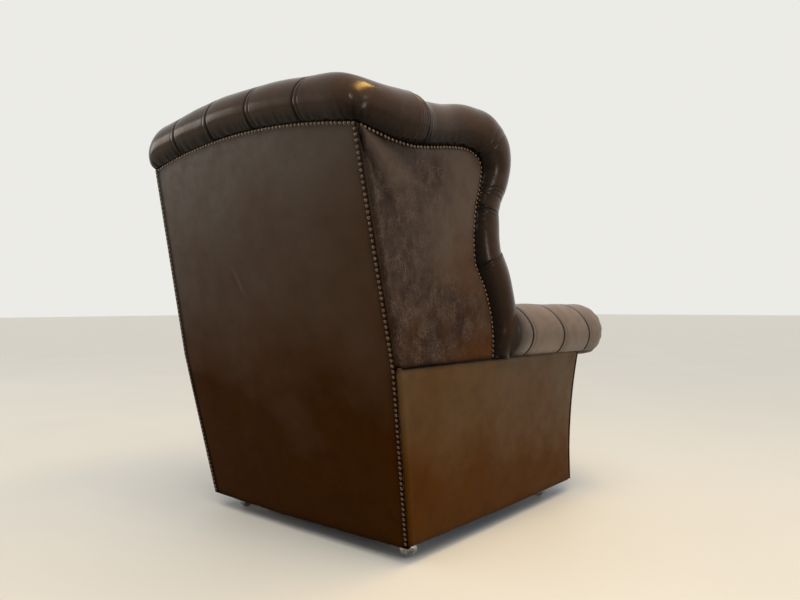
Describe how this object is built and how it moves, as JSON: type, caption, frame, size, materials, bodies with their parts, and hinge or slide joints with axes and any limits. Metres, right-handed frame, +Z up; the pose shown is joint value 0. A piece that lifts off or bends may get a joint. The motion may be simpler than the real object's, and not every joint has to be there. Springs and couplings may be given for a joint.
{
  "type": "chesterfield wing chair",
  "caption": "High wing armchair with raked back, pleated rolls, buttoned leather upholstery, loose seat cushion and ball castors.",
  "frame": {"origin": "on the floor, in the middle of the chair's width and depth", "axes": "+Z up; the sitter faces -Y and the back is on +Y; the sitter's right hand is on -X"},
  "size_m": [0.9262, 1.0616, 1.0898],
  "materials": {
    "outer_leather": "aged, smooth, semi-gloss",
    "roll_leather": "antiqued two-tone, glossy",
    "inside_leather": "antiqued two-tone, glossy",
    "seat_leather": "worn, semi-gloss",
    "button_leather": "covered button, glossy",
    "platform_cloth": "matt cotton",
    "jute_webbing": "woven jute",
    "black_lining": "matt woven",
    "beech": "planed, unfinished",
    "socket_steel": "zinc plated",
    "castor_metal": "dull nickel plate",
    "castor_wheel_metal": "dull nickel plate, worn",
    "axle_steel": "turned",
    "nail_bronze": "antique bronze upholstery nails"
  },
  "bodies": {
    "chair": {"arm_board_left": "beech", "arm_board_right": "beech", "arm_buttons": "button_leather", "arm_facing_left": "outer_leather", "arm_facing_right": "outer_leather", "arm_roll_left": "roll_leather", "arm_roll_right": "roll_leather", "back_buttons": "button_leather", "back_post_left": "beech", "back_post_right": "beech", "back_webbing": "jute_webbing", "base_rail_back": "beech", "base_rail_front": "beech", "base_rail_left": "beech", "base_rail_right": "beech", "castor_sockets": "socket_steel", "corner_blocks": "beech", "crest_rail": "beech", "crest_roll": "roll_leather", "dust_cover": "black_lining", "front_border": "outer_leather", "front_post_left": "beech", "front_post_right": "beech", "inside_arm_left": "inside_leather", "inside_arm_right": "inside_leather", "inside_back": "inside_leather", "inside_wing_left": "inside_leather", "inside_wing_right": "inside_leather", "lower_back_rail": "beech", "outside_arm_left": "outer_leather", "outside_arm_right": "outer_leather", "outside_back": "outer_leather", "outside_wing_left": "outer_leather", "outside_wing_right": "outer_leather", "seat_platform": "platform_cloth", "seat_rail_front": "beech", "seat_rail_left": "beech", "seat_rail_right": "beech", "seat_webbing": "jute_webbing", "wing_buttons": "button_leather", "wing_post_left": "beech", "wing_post_right": "beech", "wing_rail_left": "beech", "wing_rail_right": "beech", "wing_roll_left": "roll_leather", "wing_roll_right": "roll_leather"},
    "cushion": {"seat_cushion": "seat_leather"},
    "castor_swivel_back_right": {"castor_hood_back_right": "castor_metal", "castor_axle_back_right": "axle_steel"},
    "castor_ball_back_right": {"castor_wheel_back_right": "castor_wheel_metal"},
    "castor_swivel_back_left": {"castor_hood_back_left": "castor_metal", "castor_axle_back_left": "axle_steel"},
    "castor_ball_back_left": {"castor_wheel_back_left": "castor_wheel_metal"},
    "castor_swivel_front_right": {"castor_hood_front_right": "castor_metal", "castor_axle_front_right": "axle_steel"},
    "castor_ball_front_right": {"castor_wheel_front_right": "castor_wheel_metal"},
    "castor_swivel_front_left": {"castor_hood_front_left": "castor_metal", "castor_axle_front_left": "axle_steel"},
    "castor_ball_front_left": {"castor_wheel_front_left": "castor_wheel_metal"}
  },
  "joints": [
    {"name": "cushion_lift", "type": "slide", "parent": "chair", "child": "cushion", "axis": [0, 0, 1], "range_m": [0, 0.2]},
    {"name": "swivel_back_right", "type": "hinge", "parent": "chair", "child": "castor_swivel_back_right", "pos_m": [-0.308, 0.25631, 0.05], "axis": [0, 0, 1], "continuous": true},
    {"name": "roll_back_right", "type": "hinge", "parent": "castor_swivel_back_right", "child": "castor_ball_back_right", "pos_m": [-0.31865, 0.26377, 0.021], "axis": [-0.7233, 0.5064, -0.4695], "continuous": true},
    {"name": "swivel_back_left", "type": "hinge", "parent": "chair", "child": "castor_swivel_back_left", "pos_m": [0.308, 0.25631, 0.05], "axis": [0, 0, 1], "continuous": true},
    {"name": "roll_back_left", "type": "hinge", "parent": "castor_swivel_back_left", "child": "castor_ball_back_left", "pos_m": [0.295, 0.25631, 0.021], "axis": [-0.8829, 0, -0.4695], "continuous": true},
    {"name": "swivel_front_right", "type": "hinge", "parent": "chair", "child": "castor_swivel_front_right", "pos_m": [-0.308, -0.36169, 0.05], "axis": [0, 0, 1], "continuous": true},
    {"name": "roll_front_right", "type": "hinge", "parent": "castor_swivel_front_right", "child": "castor_ball_front_right", "pos_m": [-0.31245, -0.3739, 0.021], "axis": [-0.302, -0.8297, -0.4695], "continuous": true},
    {"name": "swivel_front_left", "type": "hinge", "parent": "chair", "child": "castor_swivel_front_left", "pos_m": [0.308, -0.36169, 0.05], "axis": [0, 0, 1], "continuous": true},
    {"name": "roll_front_left", "type": "hinge", "parent": "castor_swivel_front_left", "child": "castor_ball_front_left", "pos_m": [0.3145, -0.37295, 0.021], "axis": [0.4415, -0.7647, -0.4695], "continuous": true}
  ]
}
